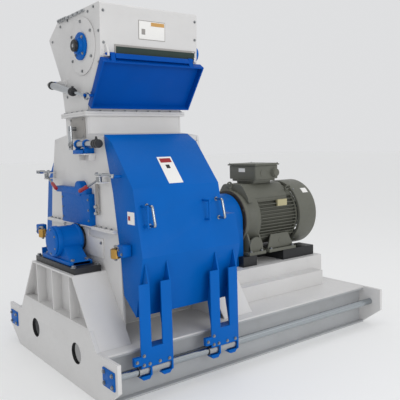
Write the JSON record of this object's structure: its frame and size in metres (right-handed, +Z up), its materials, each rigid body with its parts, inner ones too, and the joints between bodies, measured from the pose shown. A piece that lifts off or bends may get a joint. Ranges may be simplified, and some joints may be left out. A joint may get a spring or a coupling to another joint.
{
  "type": "hammer mill",
  "caption": "Hammer mill with a roll feeder on top, sliding access doors, finned drive motor and a welded floor base, for grinding grain and seed.",
  "frame": {"origin": "on the floor, under the middle of the base", "axes": "+X along the rotor from the mill to the motor, +Y to the rear, +Z up"},
  "size_m": [2.45, 1.78, 2.425],
  "materials": {
    "white_paint": "satin",
    "blue_paint": "gloss",
    "black_paint": "satin",
    "grey_paint": "satin",
    "motor_paint": "satin",
    "bare_steel": "brushed",
    "rail_chrome": "polished",
    "grip_red": "matte",
    "window_green": "gloss"
  },
  "bodies": {
    "frame": {"base_end_near": "white_paint", "base_end_far": "white_paint", "base_side_front": "white_paint", "base_side_rear": "white_paint", "base_deck": "white_paint", "bearing_stand_near": "white_paint", "bearing_stand_far": "white_paint", "motor_bed": "white_paint", "guide_rail_front": "rail_chrome", "guide_rail_rear": "rail_chrome", "casing_upper_near": "white_paint", "casing_lower_near": "white_paint", "casing_far": "white_paint", "inlet_neck": "white_paint", "discharge_hopper": "white_paint", "window_cover": "blue_paint", "shaft_cover": "grey_paint", "neck_cover": "grey_paint", "screen_front": "bare_steel", "screen_rear": "bare_steel", "flap_cylinder": "bare_steel", "bearing_base_near": "black_paint", "bearing_base_far": "black_paint", "bearing_housing_near": "blue_paint", "bearing_housing_far": "blue_paint", "bearing_cap": "blue_paint", "shaft_seal": "black_paint", "motor_stator": "motor_paint", "motor_cowl": "motor_paint", "terminal_box": "motor_paint", "feeder_housing": "white_paint", "feeder_cover": "white_paint", "feed_bearing": "blue_paint", "feeder_window": "window_green", "feed_gearmotor": "blue_paint", "coupling_guard": "blue_paint", "motor_pads": "black_paint"},
    "rotor": {"rotor_shaft": "bare_steel", "rotor_discs": "bare_steel", "coupling_half_mill": "bare_steel", "coupling_half_motor": "bare_steel", "motor_rotor": "bare_steel"},
    "hammers_1": {"hammer_row_1": "bare_steel"},
    "hammers_2": {"hammer_row_2": "bare_steel"},
    "hammers_3": {"hammer_row_3": "bare_steel"},
    "hammers_4": {"hammer_row_4": "bare_steel"},
    "flap": {"direction_flap": "bare_steel"},
    "flap_piston": {"flap_rod": "bare_steel"},
    "roll": {"feed_roll": "bare_steel"},
    "pan": {"feeder_pan": "blue_paint"},
    "pan_actuator": {"pan_cylinder": "bare_steel"},
    "pan_piston": {"pan_rod": "bare_steel"},
    "trolley_front": {"carriage_front": "bare_steel"},
    "door_front_body": {"door_front": "blue_paint"},
    "latch_front": {"latch_lever_front": "grip_red"},
    "claw_front": {"latch_hook_front": "bare_steel"},
    "trolley_rear": {"carriage_rear": "bare_steel"},
    "door_rear_body": {"door_rear": "blue_paint"},
    "latch_rear": {"latch_lever_rear": "grip_red"},
    "claw_rear": {"latch_hook_rear": "bare_steel"}
  },
  "joints": [
    {"name": "rotor_spin", "type": "hinge", "parent": "frame", "child": "rotor", "pos_m": [-0.609, 0, 0.9], "axis": [1, 0, 0], "continuous": true},
    {"name": "hammer_swing_1", "type": "hinge", "parent": "rotor", "child": "hammers_1", "pos_m": [-0.609, 0.15203, 1.05203], "axis": [1, 0, 0], "range_deg": [-35, 35]},
    {"name": "hammer_swing_2", "type": "hinge", "parent": "rotor", "child": "hammers_2", "pos_m": [-0.609, -0.15203, 1.05203], "axis": [1, 0, 0], "range_deg": [-35, 35]},
    {"name": "hammer_swing_3", "type": "hinge", "parent": "rotor", "child": "hammers_3", "pos_m": [-0.609, -0.15203, 0.74797], "axis": [1, 0, 0], "range_deg": [-35, 35]},
    {"name": "hammer_swing_4", "type": "hinge", "parent": "rotor", "child": "hammers_4", "pos_m": [-0.609, 0.15203, 0.74797], "axis": [1, 0, 0], "range_deg": [-35, 35]},
    {"name": "flap_tilt", "type": "hinge", "parent": "frame", "child": "flap", "pos_m": [-0.609, 0, 1.655], "axis": [1, 0, 0], "range_deg": [-25, 25]},
    {"name": "flap_stroke", "type": "slide", "parent": "frame", "child": "flap_piston", "axis": [0, 1, 0], "range_m": [-0.05, 0.05]},
    {"name": "feed_roll_spin", "type": "hinge", "parent": "frame", "child": "roll", "pos_m": [-0.609, -0.152, 2.187], "axis": [1, 0, 0], "continuous": true},
    {"name": "pan_swing", "type": "hinge", "parent": "frame", "child": "pan", "pos_m": [-0.609, -0.42, 2.106], "axis": [-1, 0, 0], "range_deg": [0, 34]},
    {"name": "pan_cylinder_pivot", "type": "hinge", "parent": "frame", "child": "pan_actuator", "pos_m": [-1.034, 0.301, 1.981], "axis": [1, 0, 0], "range_deg": [-2, 2]},
    {"name": "pan_stroke", "type": "slide", "parent": "pan_actuator", "child": "pan_piston", "axis": [0, -0.9766, -0.2149], "range_m": [0, 0.1709]},
    {"name": "door_slide_front", "type": "slide", "parent": "frame", "child": "trolley_front", "axis": [1, 0, 0], "range_m": [0, 0.8]},
    {"name": "door_tilt_front", "type": "hinge", "parent": "trolley_front", "child": "door_front_body", "pos_m": [-0.986, -0.79, 0.19], "axis": [1, 0, 0], "range_deg": [0, 25]},
    {"name": "latch_turn_front", "type": "hinge", "parent": "frame", "child": "latch_front", "pos_m": [-1.046, -0.425, 1.325], "axis": [0, 0, 1], "range_deg": [0, 95]},
    {"name": "claw_turn_front", "type": "hinge", "parent": "latch_front", "child": "claw_front", "pos_m": [-1.046, -0.391, 1.325], "axis": [0, 0, 1], "range_deg": [-96, 1]},
    {"name": "door_slide_rear", "type": "slide", "parent": "frame", "child": "trolley_rear", "axis": [1, 0, 0], "range_m": [0, 0.8]},
    {"name": "door_tilt_rear", "type": "hinge", "parent": "trolley_rear", "child": "door_rear_body", "pos_m": [-0.911, 0.79, 0.19], "axis": [-1, 0, 0], "range_deg": [0, 25]},
    {"name": "latch_turn_rear", "type": "hinge", "parent": "frame", "child": "latch_rear", "pos_m": [-1.046, 0.425, 1.325], "axis": [0, 0, -1], "range_deg": [0, 95]},
    {"name": "claw_turn_rear", "type": "hinge", "parent": "latch_rear", "child": "claw_rear", "pos_m": [-1.046, 0.391, 1.325], "axis": [0, 0, -1], "range_deg": [-96, 1]}
  ],
  "couplings": [
    {"joint": "flap_stroke", "follows": "flap_tilt", "m_per_rad": 0.1133},
    {"joint": "pan_cylinder_pivot", "follows": "pan_swing", "ratio": 0.01074},
    {"joint": "pan_stroke", "follows": "pan_swing", "m_per_rad": 0.28129},
    {"joint": "claw_turn_front", "follows": "latch_turn_front", "ratio": -1},
    {"joint": "claw_turn_rear", "follows": "latch_turn_rear", "ratio": -1}
  ]
}
